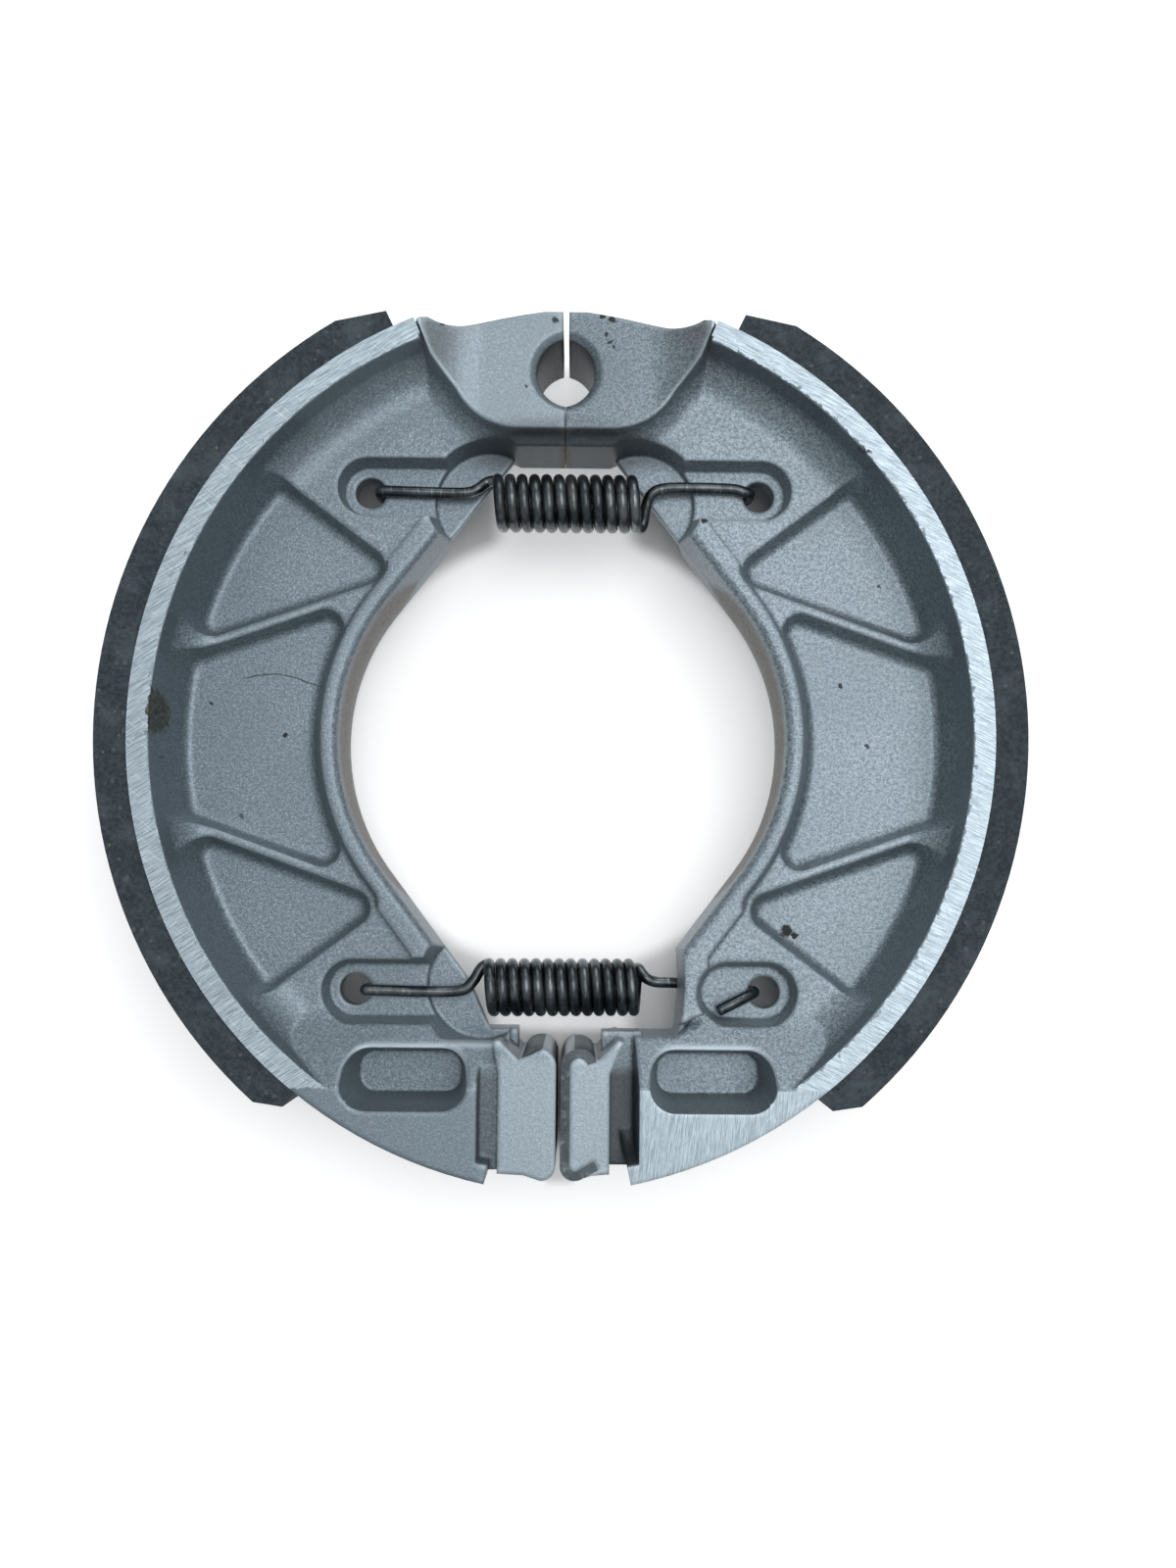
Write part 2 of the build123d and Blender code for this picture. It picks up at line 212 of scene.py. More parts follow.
# The casting: blasted aluminium, ground bright on its rim edges and cam blocks.
# Most pairs of numbers are ranges, without effect at the first value and with full effect at the second
casting = {
    "castDark": (0.125, 0.158, 0.185),
    "castLight": (0.50, 0.59, 0.65),
    # wall and shade are painted shade: on steep walls, and in hollows and recesses
    "wall": (0.10, 0.128, 0.147),
    "shade": (0.055, 0.066, 0.074),
    "ground": (0.46, 0.545, 0.60),
    "groundDark": (0.23, 0.285, 0.325),
    "groundLight": (0.74, 0.82, 0.87),
    "brown": (0.11, 0.085, 0.066),
    # opening: oily brown that is also painted shade, on the opening's wall and parting faces
    "opening": (0.155, 0.145, 0.135),
    "soot": (0.012, 0.012, 0.013),
    "smearDark": (0.02, 0.022, 0.018),
    "smearLight": (0.07, 0.075, 0.06),
    # textures: noise scales, and streaks as how fine they are across and along
    "grainScale": 4200,
    "coarseScale": 2000,
    "mottleScale": 60,
    "frayScale": 1100,
    "frayReach": 1.1 * mm,
    "chipScale": 800,
    "chipDepth": 0.45 * mm,
    "streaks": (5200, 260),
    "fineStreaks": (11000, 420),
    "scratches": (4200, 150),
    "wornStreaks": (3300, 120),
    "fineTurn": 5,  # degrees between the streaks and the finer ones
    # edges and hollows; level and steep go by the upward part of a face's normal
    "rounding": 0.9 * mm,
    "outerEdgeReach": 1.2 * mm,
    "hollowReach": 1.1 * mm,
    "levelFace": (0.9, 0.97),
    "steepWall": (0.5, 0.1),
    # heights from the floor
    "upperSide": (12.6 * mm, 13.2 * mm),
    "topFace": (24.92 * mm, 24.96 * mm),
    "lowFace": (0.04 * mm, 0.0),
    "padHeight": (24.3 * mm, 24.6 * mm),
    "bossHeight": (19 * mm, 21 * mm),
    "grooveHeight": (24.6 * mm, 24.2 * mm),
    "bossFootHeight": (22.5 * mm, 19.5 * mm),
    "bloomHeight": (25.2 * mm, 23.5 * mm),
    # radii about the drum's centre
    "rimEdge": (57.65 * mm, 57.8 * mm),
    "rimWall": (50 * mm, 53 * mm),
    # places along the pair, towards the cam where they fall
    "blockFace": (-46.7 * mm, -46.9 * mm),
    "padStart": (-41 * mm, -44 * mm),
    "grooveStart": (-43.5 * mm, -46 * mm),
    "bossStart": (41 * mm, 44 * mm),
    # distances from the middle line, the opening's centre, the bore's centre and the bloom's centre
    "padSide": (7.8 * mm, 7.5 * mm),
    "partingFace": (1.0 * mm, 0.7 * mm),
    "openingWall": (30.6 * mm, 30.3 * mm),
    "boreWall": (5.2 * mm, 4.9 * mm),
    "boreY": 50.2 * mm,
    "bloomReach": (6 * mm, 1 * mm),
    "bloomPlace": (17.6 * mm, 54.8 * mm),
    # ovals of painted shade (under the boss) and of dirt, as centre and half sizes, and how their borders
    # fade
    "bossFoot": (0.0, 40.5 * mm, 15 * mm, 3.4 * mm),
    "bossFootFade": (1.25, 0.55),
    "smearFade": (1.25, 0.85),
    "markFade": (1.25, 0.75),
    # relief, as strength and depth
    "skinRelief": (0.42, 0.08 * mm),
    "groundRelief": (0.5, 0.04 * mm),
}
# hatch and blockHatch are the angles of the grinding scratches. The marks are seen on the upper side:
# x, y and radius in mm, and how dark; the smear is an oval, as centre and half sizes in mm
leftLook = {
    "side": -1,
    # cast: the skin's colour, darker than on the right casting, as painted shade on a copy of one material
    "cast": (0.225, 0.278, 0.317),
    "bossTone": (0.36, 0.43, 0.48),
    "hatch": (32, -38, 75),
    "blockHatch": (28, 66),
    # blockShade: how far the block keeps less grinding and is painted darker, as painted shade
    "blockShade": 0.9,
    "groove": ((8.1 * mm, 8.6 * mm), (11.0 * mm, 10.7 * mm)),
    "grooveShade": 0.6,
    "smear": (-54.5, 2.4, 1.0, 2.9),
    "marks": [(-38.6, 0.1, 0.34, 1.0), (-48.9, 4.6, 0.22, 0.9), (-44.3, -11.1, 0.3, 0.7),
              (-1.6, 57.4, 0.45, 0.9), (-5.4, 48.0, 0.25, 0.9), (-17.0, 56.0, 0.3, 0.9),
              (-53.9, -3.5, 0.2, 0.6), (-51.6, -15.2, 0.2, 0.5)],
    # a fine line across the middle pocket, its run from one end to the other
    "hairline": {"start": -46 * mm, "length": 13 * mm, "foot": 6.3 * mm, "rise": 2.6 * mm,
                 "curve": [(0, 0.1), (0.35, 0.92), (0.55, 0.9), (0.75, 0.62), (1, 0.2)],
                 "width": (0.13 * mm, 0.03 * mm), "fadeIn": (-46 * mm, -43 * mm),
                 "fadeOut": (-32.9 * mm, -33.3 * mm)},
}
rightLook = {
    "side": 1,
    # cast: lighter than on the left casting, as painted light on a copy of one material
    "cast": (0.285, 0.345, 0.388),
    "bossTone": (0.05, 0.07, 0.08),
    "hatch": (-28, 48, 100),
    "blockHatch": (82, 38),
    "blockShade": 0.22,
    "groove": ((6.2 * mm, 6.7 * mm), (10.6 * mm, 10.3 * mm)),
    "grooveShade": 0.9,
    "smear": (41.2, 38.9, 1.4, 0.8),
    "marks": [(38.7, 7.9, 0.3, 0.9), (42.5, -0.6, 0.2, 0.8), (31.1, -26.3, 0.75, 1.0),
              (32.2, -26.7, 0.45, 1.0), (19.1, 29.9, 0.42, 1.0), (5.0, 57.9, 0.32, 1.0),
              (6.3, 57.6, 0.45, 1.0), (5.6, 55.3, 0.26, 0.9), (6.2, 54.3, 0.34, 0.9),
              (6.6, 53.6, 0.26, 0.9), (15.6, 56.3, 0.4, 0.8), (18.6, 56.5, 0.35, 0.8),
              (44.2, 22.0, 0.22, 0.7), (52.1, -12.0, 0.2, 0.6)],
}


def groundMetal(f, x, y, angles):
    # ground face: fine streaks one way, crossed by a few bright and dark scratches; colour and height
    streaks = f.hatch(x, y, angles[0], *casting["streaks"])
    fine = f.hatch(x, y, angles[0] + casting["fineTurn"], *casting["fineStreaks"])
    scratch = f.step(f.hatch(x, y, angles[1], *casting["scratches"]), 0.61, 0.68)
    worn = f.step(f.hatch(x, y, angles[-1], *casting["wornStreaks"]), 0.60, 0.68)
    colour = f.mix(f.step(streaks * 0.6 + fine * 0.4, 0.40, 0.60), casting["groundDark"], casting["ground"])
    colour = f.mix(f.step(fine, 0.56, 0.70) * 0.6, colour, casting["groundLight"])
    colour = f.mix(scratch * 0.55, colour, casting["groundLight"])
    colour = f.mix(worn * 0.55, colour, casting["groundDark"])
    return colour, streaks * 0.6 + fine * 0.3 - scratch * 0.5


def castingFinish(name, look):
    f = newFinish(name)
    side = look["side"]
    here = f.place()
    x, y, z = f.split(here)
    level = f.join(x, y, 0.0)
    rounded = f.rounded(casting["rounding"], 8)
    facing = f.split(f.node("ShaderNodeTexCoord", {}, {}, "Normal"))[2]
    grain = f.noise(here, casting["grainScale"], 2.0, 0.6)
    coarse = f.noise(here, casting["coarseScale"], 2.0, 0.5)
    mottle = f.noise(here, casting["mottleScale"], 3.0, 0.5)
    wander = f.vector("SUBTRACT", f.noise(here, casting["frayScale"], output=1), (0.5, 0.5, 0.5))
    frayed = f.vector("ADD", here, f.vector("MULTIPLY", wander, (casting["frayReach"],) * 3))
    fx, fy = f.split(frayed)[:2]
    flat = f.join(fx, fy, 0.0)
    upper = f.step(z, *casting["upperSide"])

    # ground faces lie at the two outer heights, with a ragged inner border
    outer = f.step(z, *casting["topFace"]).larger(f.step(z, *casting["lowFace"]))
    outer = outer * f.step(facing.size(), *casting["levelFace"])
    fromDrum = f.distance(flat, -side * drumCentre[0] * mm, drumCentre[1] * mm)
    chips = f.step(f.noise(here, casting["chipScale"], 2.0, 0.5), 0.56, 0.66)
    onRim = f.step(fromDrum - chips * casting["chipDepth"], *casting["rimEdge"])
    onWall = f.step(fromDrum, *casting["rimWall"])
    onBlock = f.step(fy, *casting["blockFace"])
    onPad = f.step(x.size(), *casting["padSide"])
    ground = outer * onRim.larger(onBlock) * (1 - onPad)

    # colour of the cast skin, with painted shade on steep walls and in hollows, lighter along edges as wear
    # and painted highlight
    edge = f.edge(casting["outerEdgeReach"])
    hollow = f.hollow(casting["hollowReach"])
    steep = f.step(f.split(rounded)[2].size(), *casting["steepWall"])
    skin = f.mix(f.step(grain * 0.6 + coarse * 0.4, 0.38, 0.62), casting["castDark"], look["cast"])
    skin = f.mix(f.step(grain, 0.56, 0.72) * 0.55, skin, casting["castLight"])
    skin = f.mix(f.step(mottle, 0.40, 0.65) * 0.25, skin, casting["castDark"])
    skin = f.mix(steep * (0.08 + onWall * 0.3), skin, casting["wall"])
    # outer edges made lighter: partly wear, partly painted highlight
    skin = f.mix(f.step(edge, 0.22, 0.65) * 0.75, skin, casting["castLight"])
    skin = f.mix(f.step(hollow, 0.50, 0.90) * 0.6, skin, casting["shade"])

    # the tops of the cam pads are made lighter; the two bosses differ in tone
    pad = onPad * f.step(z, *casting["padHeight"]) * f.step(y, *casting["padStart"])
    skin = f.mix(pad * 0.4, skin, casting["castLight"])
    boss = f.step(y, *casting["bossStart"]) * f.step(z, *casting["bossHeight"])
    skin = f.mix(boss * 0.3, skin, look["bossTone"])

    # painted shade darkens the bore, the groove beside the cam pad and the foot of the boss over the opening
    bore = f.step(f.distance(level, 0.0, casting["boreY"]), *casting["boreWall"]) * steep
    near, away = look["groove"]
    groove = f.step(x.size(), *near) * f.step(x.size(), *away) * f.step(y, *casting["grooveStart"])
    groove = groove * f.step(z, *casting["grooveHeight"]) * upper
    foot = f.step(f.oval(level, *casting["bossFoot"]), *casting["bossFootFade"])
    foot = foot * upper.larger(steep) * f.step(z, *casting["bossFootHeight"])
    recessShade = bore.larger(groove * look["grooveShade"]).larger(foot * 0.85)
    skin = f.mix(recessShade, skin, casting["shade"])

    # rim and block are ground alike; the left block keeps less of its grinding and is painted darker, as
    # painted shade
    rimColour, rimHeight = groundMetal(f, x, y, look["hatch"])
    blockColour, blockHeight = groundMetal(f, x, y, look["blockHatch"])
    blockColour = f.mix(look["blockShade"], blockColour, f.mix(0.5, skin, casting["castDark"]))
    colour = f.mix(ground, skin, f.mix(onBlock, rimColour, blockColour))

    # brown bloom at the boss's outer ends; oily brown on the opening's wall and the two parting faces, also
    # as painted shade
    bloomX, bloomY = casting["bloomPlace"]
    bloom = f.step(f.distance(flat, side * bloomX, bloomY), *casting["bloomReach"])
    bloom = bloom * f.step(z, *casting["bloomHeight"]) * f.step(mottle, 0.3, 0.6)
    wall = f.step(f.distance(level, 0.0, 0.0), *casting["openingWall"])
    wall = wall.larger(f.step(x.size(), *casting["partingFace"])) * steep * (1 - bore)
    oilAndShade = f.mix(f.step(coarse, 0.4, 0.62), casting["brown"], casting["opening"])
    colour = f.mix(bloom * 0.8, colour, casting["brown"])
    colour = f.mix(wall * 0.85, colour, oilAndShade)

    # dark specks, pits and a dried smear on the upper side
    spots = None
    for mx, my, radius, dark in look["marks"]:
        fade = [radius * part * mm for part in casting["markFade"]]
        spot = f.step(f.distance(flat, mx * mm, my * mm), *fade) * dark
        spots = spot if spots is None else spots.larger(spot)
    smear = f.step(f.oval(flat, *[size * mm for size in look["smear"]]), *casting["smearFade"])
    smear = smear * upper * (1 - ground)
    dried = f.mix(f.step(coarse, 0.4, 0.6), casting["smearDark"], casting["smearLight"])
    colour = f.mix(smear, colour, dried)
    if "hairline" in look:
        line = look["hairline"]
        run = f.node("ShaderNodeFloatCurve", {"curve": line["curve"]},
                     {"Value": (x - line["start"]) / line["length"]})
        off = (fy * 0.35 + y * 0.65 - (run * line["rise"] + line["foot"])).size()
        crack = f.step(off, *line["width"]) * f.step(x, *line["fadeIn"]) * f.step(x, *line["fadeOut"])
        spots = spots.larger(crack * 0.75)
    spots = spots * upper
    colour = f.mix(spots, colour, casting["soot"])

    skinNormal = f.bump(grain * 0.7 + coarse * 0.6 - spots * 1.5, *casting["skinRelief"], rounded)
    groundNormal = f.bump(f.mixed(onBlock, rimHeight, blockHeight), *casting["groundRelief"])
    normal = f.node("ShaderNodeMix", {"data_type": "VECTOR"},
                    {0: ground * (1 - onBlock * look["blockShade"]), 4: skinNormal, 5: groundNormal}, 1)
    roughness = (0.42 + (grain - 0.5) * 0.4) * (1 - ground) + (0.36 + grain * 0.16) * ground
    roughness = roughness + spots * 0.3 + wall * 0.1
    metallic = (0.55 + ground * 0.33 - bloom * 0.3 - wall * 0.35 - spots * 0.8 - smear * 0.5).larger(0.0)
    return f.finished(Base_Color=colour, Roughness=roughness, Metallic=metallic, Normal=normal)


# The pockets, in mm and degrees, given for the left shoe, with heights from the casting's mid plane.
# An end or a rib is a line through x, y at an angle. A profile is in radii from the drum's centre and
# heights, and a span is in degrees round it; outerTurns and innerTurns are ranges of whole degrees
pockets = {
    "midHeight": 12.5,  # the mid plane above the floor
    "floor": 1.99,
    "mouth": 13.6,  # past the ground faces
    "footRadius": 1.2,
    "draft": 18.0,
    "corner": 1.6,
    "spare": 0.03,  # further than the mesh's own walls, so that none is left
    "inner": 34.4,
    "innerTurns": (235, 124, -1),
    "outer": 55.2,
    "outerTurns": (130, 231),
    "ends": ((-28.4, 26.4, -37.0), (-28.4, -25.6, 37.0)),
    "ribs": ((-40.0, 15.7, 19.6), (-40.0, -16.1, -19.6)),
    "ribWidth": 3.0,
    "fillSpan": (138.4, 221.5),
    "fillProfile": [(35.0, 4.98), (35.0, 1.5), (59.4, 1.5), (59.4, 12.49), (58.217, 12.49)],
    "cove": {"centre": (51.586, 11.0), "radius": 6.02, "start": -15, "step": -7.5, "points": 11},
    "edgeSpan": (113.3, 238.0),
    "edgeProfile": [(59.4, 6.5), (56.85, 6.5), (57.6, 12.49), (59.4, 12.49)],
    "turnStep": 1.7,
    "cornerTurn": 20,
    "cornerSteps": 8,
    "footSteps": 6,
    "mergeReach": 0.0001,
    "sharpAngle": 28,
}


def onCircle(centre, radius, degrees):
    return Vector((centre[0] + radius * math.cos(math.radians(degrees)),
                   centre[1] + radius * math.sin(math.radians(degrees))))


def clipped(points, x, y, degrees, side, inset):
    # the part of an outline that lies to one side of a line, at least the inset away from it
    inward = Vector((-math.sin(math.radians(degrees)), math.cos(math.radians(degrees)))) * side
    kept = []
    for a, b in zip(points, points[1:] + points[:1]):
        fromLine = [(p - Vector((x, y))).dot(inward) - inset for p in (a, b)]
        if fromLine[0] >= 0:
            kept.append(a)
        if fromLine[0] * fromLine[1] < 0:
            kept.append(a + (b - a) * (fromLine[0] / (fromLine[0] - fromLine[1])))
    return kept


def pocketOutlines():
    # each pocket drawn in by its corner radius, so that it has sharp corners
    corner = pockets["corner"]
    panel = [onCircle(drumCentre, pockets["outer"] - corner, turn) for turn in range(*pockets["outerTurns"])]
    panel += [onCircle((0, 0), pockets["inner"] + corner, turn) for turn in range(*pockets["innerTurns"])]
    top, low = pockets["ends"]
    upper, lower = pockets["ribs"]
    rib = pockets["ribWidth"] / 2 + corner
    bounds = [((*top, -1, corner), (*upper, 1, rib)), ((*upper, -1, rib), (*lower, 1, rib)),
              ((*lower, -1, rib), (*low, 1, corner))]
    return [clipped(clipped(panel, *first), *second) for first, second in bounds]


def cutterRings(points):
    # outline at each height: a rounded foot, then a leaning wall up past the ground faces
    spots = []
    for before, here, after in zip(points[-1:] + points[:-1], points, points[1:] + points[:1]):
        ways = [(here - before).normalized(), (after - here).normalized()]
        outs = [Vector((way.y, -way.x)) for way in ways]
        turn = math.degrees(math.acos(max(-1, min(1, outs[0].dot(outs[1])))))
        steps = pockets["cornerSteps"] if turn > pockets["cornerTurn"] else 0
        for i in range(steps + 1):
            share = i / steps if steps else 0.5
            spots.append((here, (outs[0] * (1 - share) + outs[1] * share).normalized()))
    foot, lean = pockets["footRadius"], math.radians(pockets["draft"])
    sweep = math.pi / 2 - lean
    run = foot * math.tan(sweep / 2)
    angles = [sweep * i / pockets["footSteps"] for i in range(pockets["footSteps"] + 1)]
    levels = [(foot * math.sin(a) - run, foot * (1 - math.cos(a))) for a in angles]
    rise = pockets["mouth"] - pockets["floor"]
    levels.append((rise * math.tan(lean), rise))
    reach = pockets["corner"] + pockets["spare"]
    return [[(p.x + n.x * (reach + out), p.y + n.y * (reach + out), pockets["floor"] + h) for p, n in spots]
            for out, h in levels]


def turnedRings(profile, start, end):
    # a profile of radii and heights, carried round the drum's centre
    steps = round((end - start) / pockets["turnStep"])
    turns = [start + (end - start) * i / steps for i in range(steps + 1)]
    return [[(*onCircle(drumCentre, r, turn), h) for r, h in profile] for turn in turns]


def fillRings():
    # metal that closes the pockets up to the web's face and the cove along the rim
    cove = pockets["cove"]
    arc = [tuple(onCircle(cove["centre"], cove["radius"], cove["start"] + cove["step"] * i))
           for i in range(cove["points"])]
    return turnedRings(pockets["fillProfile"] + arc, *pockets["fillSpan"])


def asObject(name, shape):
    # a bmesh as an object of the scene
    mesh = bpy.data.meshes.new(name)
    shape.to_mesh(mesh)
    shape.free()
    return linked(name, mesh)


def solids(name, stacks, side):
    # closed solids, each from a stack of rings, above and below the mid plane
    shape = bmesh.new()
    for rings in stacks:
        for up in (1, -1):
            rows = [[shape.verts.new((-side * px * mm, py * mm, (pockets["midHeight"] + up * h) * mm))
                     for px, py, h in ring] for ring in rings]
            for low, high in zip(rows, rows[1:]):
                for i in range(len(low)):
                    j = (i + 1) % len(low)
                    shape.faces.new((low[i], low[j], high[j], high[i]))
            shape.faces.new(rows[0])
            shape.faces.new(rows[-1])
    bmesh.ops.recalc_face_normals(shape, faces=shape.faces)
    bmesh.ops.triangulate(shape, faces=shape.faces)
    return asObject(name, shape)


def applied(made):
    # the object's mesh with its modifiers carried out
    mesh = bpy.data.meshes.new_from_object(made.evaluated_get(bpy.context.evaluated_depsgraph_get()))
    made.modifiers.clear()
    made.data = mesh
    return mesh


def makeCasting(name, node, side, material):
    # the shoe's mesh with its pockets filled and cut again, so that the ribs spread towards the opening,
    # and with a rim edge of one width
    shape = bmesh.new()
    shape.from_mesh(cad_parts[node].data)
    bmesh.ops.remove_doubles(shape, verts=shape.verts, dist=pockets["mergeReach"] * mm)
    made = asObject(name, shape)
    tools = [("UNION", solids("fill", [fillRings()], side)),
             ("DIFFERENCE", solids("cutters", [cutterRings(points) for points in pocketOutlines()], side)),
             ("UNION", solids("edge", [turnedRings(pockets["edgeProfile"], *pockets["edgeSpan"])], side))]
    for operation, tool in tools:
        change = made.modifiers.new(operation, "BOOLEAN")
        change.operation = operation
        change.solver = "EXACT"
        change.object = tool
    mesh = applied(made)
    for operation, tool in tools:
        bpy.data.objects.remove(tool)
    mesh.materials.clear()
    mesh.materials.append(material)
    if "custom_normal" in mesh.attributes:
        mesh.attributes.remove(mesh.attributes["custom_normal"])
    for polygon in mesh.polygons:
        polygon.use_smooth = True
        polygon.material_index = 0
    mesh.set_sharp_from_angle(angle=math.radians(pockets["sharpAngle"]))
    made.modifiers.new("flatFaces", "WEIGHTED_NORMAL").keep_sharp = True
    applied(made)
    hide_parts(node)
    return made


shoes = [("leftCasting", "left_shoe", "left_half", leftLook),
         ("rightCasting", "right_shoe", "right_half", rightLook)]
for name, node, body, look in shoes:
    finish = castingFinish(name + "Skin", look)
    dress([node], finish)
    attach(makeCasting(name, node, look["side"], finish), body)
print("castings made and dressed")

# The linings: pressed friction material, dark grey-green with pale and dark crumbs
lining = {
    "body": (0.040, 0.056, 0.068),
    "dark": (0.016, 0.022, 0.028),
    "crumb": (0.085, 0.105, 0.115),
    "brass": (0.16, 0.14, 0.09),
    "scuff": (0.088, 0.112, 0.128),
    # noise scales: turned is outward and along the drum's axis, sawn is across and along its streaks
    "fineScale": 1800,
    "cloudScale": 160,
    "crumbScale": 900.0,
    "turned": (300, 6000),
    "sawn": (2600, 260),
    "sawnAngle": 40,
    "centre": (3.05 * mm, 0.29 * mm),  # of the turned face, on the left shoe
    "outerEdgeReach": 0.8 * mm,
    "rounding": 0.35 * mm,
    "relief": (0.6, 0.12 * mm),
}


def liningFinish(name, side):
    f = newFinish(name)
    here = f.place()
    x, y, z = f.split(here)
    fine = f.noise(here, lining["fineScale"], 4.0, 0.7)
    cloud = f.noise(here, lining["cloudScale"], 4.0, 0.6)
    cells, tint = [f.node("ShaderNodeTexVoronoi", {"feature": "F1"},
                          {"Vector": here, "Scale": lining["crumbScale"]}, output)
                   for output in ("Distance", "Color")]
    pick = f.split(tint)
    colour = f.mix(f.step(fine, 0.35, 0.65), lining["dark"], lining["body"])
    colour = f.mix(f.step(cloud, 0.45, 0.75) * 0.5, colour, lining["scuff"])
    crumbs = f.step(cells, 0.34, 0.2) * f.step(pick[0], 0.8, 0.85)
    colour = f.mix(crumbs * 0.6, colour, lining["crumb"])
    flecks = f.step(cells, 0.26, 0.14) * f.step(pick[1], 0.965, 0.975)
    colour = f.mix(flecks * 0.8, colour, lining["brass"])
    pits = f.step(cells, 0.4, 0.25) * f.step(pick[2], 0.86, 0.9)
    colour = f.mix(pits * 0.8, colour, lining["dark"])

    # turned finish round the friction face, and a sawn look on the sides
    centreX, centreY = lining["centre"]
    outward, upward = lining["turned"]
    radius = f.distance(f.join(x, y, 0.0), -side * centreX, centreY)
    around = f.noise(f.join(radius * outward, z * upward, 0.0), 1.0, 3.0, 0.6)
    sawn = f.hatch(x, y, lining["sawnAngle"] * side, *lining["sawn"])
    colour = f.mix(f.step(sawn, 0.58, 0.72) * 0.35, colour, lining["scuff"])
    colour = f.mix(f.step(f.edge(lining["outerEdgeReach"]), 0.35, 0.85) * 0.3, colour, lining["scuff"])
    height = fine * 0.6 + around * 0.25 + crumbs * 0.2 - pits * 0.8
    normal = f.bump(height, *lining["relief"], f.rounded(lining["rounding"]))
    return f.finished(Base_Color=colour, Roughness=0.72 + fine * 0.2 - flecks * 0.3, Metallic=flecks * 0.7,
                      Normal=normal, Specular_IOR_Level=0.35)


dress(["left_lining"], liningFinish("liningLeft", -1))
dress(["right_lining"], liningFinish("liningRight", 1))
print("linings dressed")

# The cam plates: bent steel strip, drawn bright along the gap and dull on its cut edge
plate = {
    "steel": (0.095, 0.115, 0.125),
    "dull": (0.05, 0.062, 0.07),
    "bright": (0.27, 0.30, 0.32),
    "rust": (0.06, 0.05, 0.042),
    "drawnScales": (900, 900, 9000),
    "cloudScale": 260,
    "grainScale": 2600,
    "outerEdgeReach": 0.4 * mm,
    "rounding": 0.2 * mm,
    "relief": (0.35, 0.05 * mm),
}


def plateFinish():
    f = newFinish("camPlate")
    here = f.place()
    drawn = f.noise(f.vector("MULTIPLY", here, plate["drawnScales"]), 1.0, 3.0, 0.6)
    cloud = f.noise(here, plate["cloudScale"], 4.0, 0.65)
    grain = f.noise(here, plate["grainScale"], 2.0, 0.6)
    colour = f.mix(f.step(cloud, 0.35, 0.7), plate["dull"], plate["steel"])
    colour = f.mix(f.step(drawn, 0.55, 0.75) * 0.5, colour, plate["bright"])
    colour = f.mix(f.step(f.edge(plate["outerEdgeReach"]), 0.4, 0.9) * 0.5, colour, plate["bright"])
    colour = f.mix(f.step(cloud * 0.7 + grain * 0.3, 0.58, 0.7) * 0.35, colour, plate["rust"])
    normal = f.bump(drawn * 0.5 + grain * 0.4, *plate["relief"], f.rounded(plate["rounding"]))
    return f.finished(Base_Color=colour, Metallic=0.9 - f.step(cloud, 0.6, 0.8) * 0.3,
                      Roughness=0.38 + grain * 0.25, Normal=normal)


dress(["left_cam_plate", "right_cam_plate"], plateFinish())
print("cam plates dressed")

# The springs: oiled steel wire, wound as close coils with hooked arms; lengths in mm, heights from the floor
wire = {
    "diameter": 1.55,
    "sides": 18,
    "perTurn": 40,
    "perSpan": 7,
    # strands don't lie quite evenly: two waves along the coil, as reach, rate and start
    "waves": ((0.02, 5.1, 0), (0.02, 2.3, 1)),
    # cut ends are rounded over: how far they stand out and how wide they still are, in radii
    "lip": 0.25,
    "lipWidth": 0.78,
    "oiled": (0.125, 0.145, 0.155),
    "brown": (0.115, 0.10, 0.082),
    "bright": (0.42, 0.41, 0.38),
    "black": (0.03, 0.04, 0.046),
    "cloudScale": 240,
    "brownScale": 420,
    "grainScale": 2400,
    "drawnScales": (3200, 500, 500),
    "relief": (0.25, 0.03 * mm),
}
upperSpring = {
    "left": [(-20.6, 34.8, 9.63), (-23.98, 34.8, 9.88), (-25.69, 34.8, 10.42), (-25.98, 34.8, 11.53),
             (-25.98, 34.8, 13.88), (-25.69, 34.8, 14.58), (-24.98, 34.8, 14.88), (-18.5, 34.65, 14.88),
             (-14.0, 34.65, 14.88), (-12.3, 35.2, 14.88), (-11.0, 36.3, 14.4)],
    "coil": {"x": -9.48, "y": 33.24, "z": 14.88, "diameter": 8.2, "turns": 11.5, "pitch": 1.7,
             "drop": 0.0},
    "right": [(10.7, 30.2, 13.38), (11.15, 31.4, 13.28), (11.45, 33.2, 14.08), (12.1, 34.7, 14.68),
              (13.6, 35.5, 14.88), (17.0, 35.7, 14.88), (23.2, 35.6, 14.88), (25.07, 35.2, 14.88),
              (25.78, 35.2, 14.58), (26.07, 35.2, 13.88), (26.07, 35.2, 11.53), (25.78, 35.18, 10.42),
              (24.08, 35.09, 9.88), (20.6, 34.9, 9.63)],
}
lowerSpring = {
    "left": [(-21.3, -34.7, 9.63), (-24.68, -34.7, 9.88), (-26.39, -34.7, 10.42), (-26.68, -34.7, 11.53),
             (-26.68, -34.7, 13.88), (-26.39, -34.7, 14.58), (-25.68, -34.7, 14.88), (-17.6, -34.85, 14.88),
             (-13.4, -34.6, 14.88), (-11.9, -33.4, 14.88), (-10.8, -31.6, 14.38)],
    "coil": {"x": -9.79, "y": -34.2, "z": 14.38, "diameter": 8.0, "turns": 12.9, "pitch": 1.605,
             "drop": 3.0},
    "right": [(11.9, -32.9, 10.43), (13.4, -33.5, 10.33), (16.2, -33.6, 10.13), (22.0, -34.2, 10.13),
              (25.68, -34.6, 10.13), (26.38, -34.6, 10.42), (26.68, -34.6, 11.13), (26.68, -34.6, 13.48),
              (26.41, -34.73, 14.58), (24.87, -35.47, 15.48), (21.7, -37.0, 16.08)],
}


